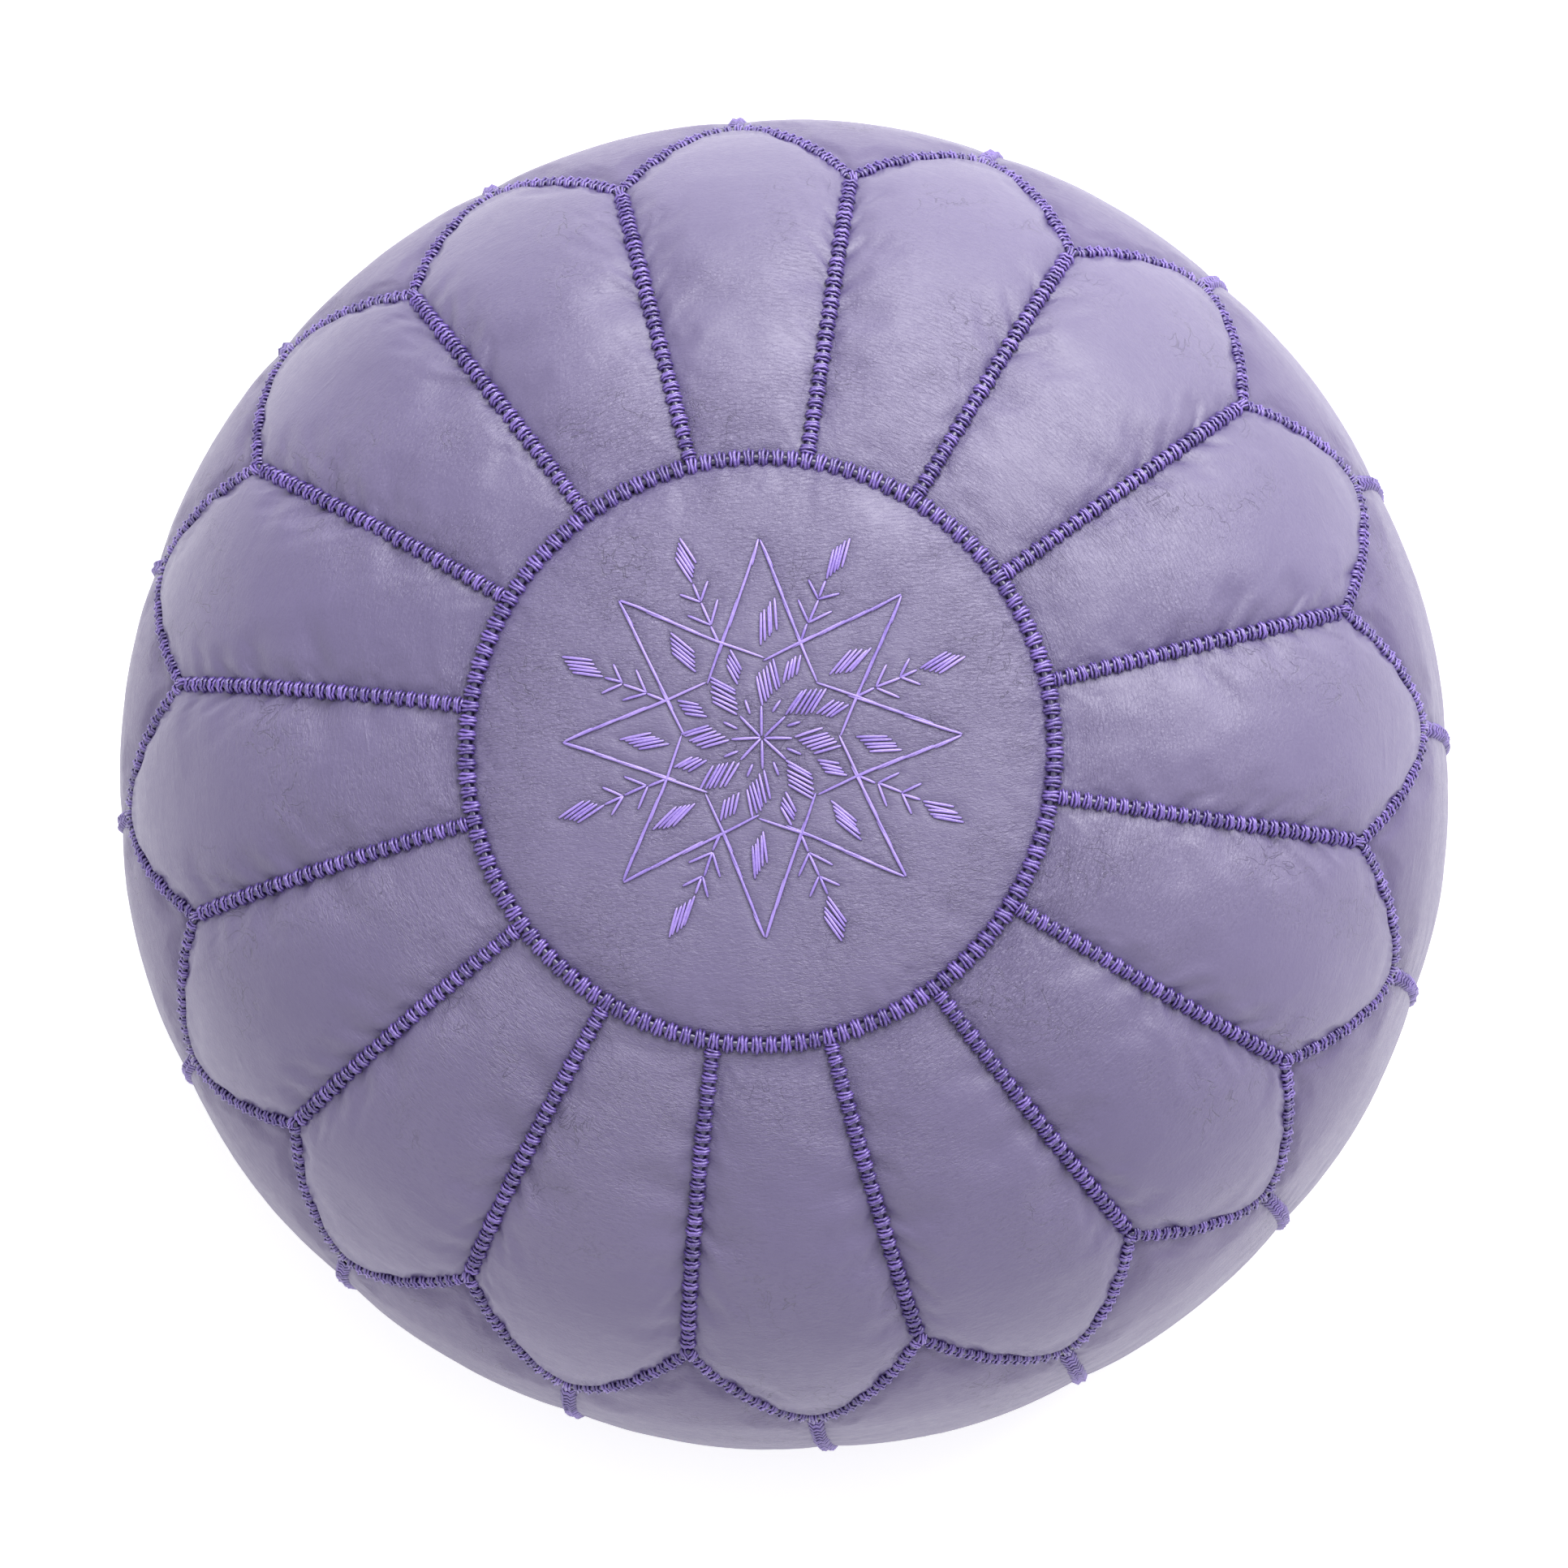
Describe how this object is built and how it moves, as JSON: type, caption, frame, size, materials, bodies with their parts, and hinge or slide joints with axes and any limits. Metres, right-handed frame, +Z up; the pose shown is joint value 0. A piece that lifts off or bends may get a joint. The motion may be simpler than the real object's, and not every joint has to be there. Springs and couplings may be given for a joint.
{
  "type": "leather pouf",
  "caption": "Round stuffed leather pouf sewn from petal and side panels around a medallion embroidered with a star, with thick knotted seams and a zipped base.",
  "frame": {"origin": "on the floor under the middle of the pouf", "axes": "+Z up from the floor to the crown; one petal tip points along +X; the zip in the base runs along X"},
  "size_m": [0.526, 0.526, 0.321],
  "materials": {
    "leather": "semi-gloss lavender leather with fine grain and creases",
    "seam_cord": "thick violet thread worked into a knotted cord",
    "embroidery_thread": "silky violet embroidery thread",
    "zip_tape": "woven tape",
    "zip_metal": "satin",
    "bag_cloth": "unbleached cotton",
    "stuffing_fibre": "packed cotton fibre"
  },
  "bodies": {
    "root": {"top_medallion": "leather", "top_petal_01": "leather", "top_petal_02": "leather", "top_petal_03": "leather", "top_petal_04": "leather", "top_petal_05": "leather", "top_petal_06": "leather", "top_petal_07": "leather", "top_petal_08": "leather", "top_petal_09": "leather", "top_petal_10": "leather", "top_petal_11": "leather", "top_petal_12": "leather", "top_petal_13": "leather", "top_petal_14": "leather", "top_petal_15": "leather", "top_petal_16": "leather", "side_panel_01": "leather", "side_panel_02": "leather", "side_panel_03": "leather", "side_panel_04": "leather", "side_panel_05": "leather", "side_panel_06": "leather", "side_panel_07": "leather", "side_panel_08": "leather", "side_panel_09": "leather", "side_panel_10": "leather", "side_panel_11": "leather", "side_panel_12": "leather", "side_panel_13": "leather", "side_panel_14": "leather", "side_panel_15": "leather", "side_panel_16": "leather", "bottom_half_left": "leather", "bottom_half_right": "leather", "medallion_ring_seam": "seam_cord", "petal_seams": "seam_cord", "scallop_seam": "seam_cord", "side_seams": "seam_cord", "base_ring_seam": "seam_cord", "star_outline": "embroidery_thread", "leaf_stitches": "embroidery_thread", "sprig_stitches": "embroidery_thread", "zip_tape_left": "zip_tape", "zip_tape_right": "zip_tape", "zip_teeth_left": "zip_metal", "zip_teeth_right": "zip_metal", "zip_top_stop": "zip_metal", "zip_bottom_stop": "zip_metal", "filling_bag": "bag_cloth", "stuffing": "stuffing_fibre"},
    "zip_slider": {"zip_slider": "zip_metal"},
    "zip_pull": {"zip_pull": "zip_metal"}
  },
  "joints": [
    {"name": "zip_slide", "type": "slide", "parent": "root", "child": "zip_slider", "axis": [-1, 0, 0], "range_m": [0, 0.196]},
    {"name": "pull_swing", "type": "hinge", "parent": "zip_slider", "child": "zip_pull", "pos_m": [0.098, 0, 0.0075], "axis": [0, -1, 0], "range_deg": [-12, 140]}
  ]
}
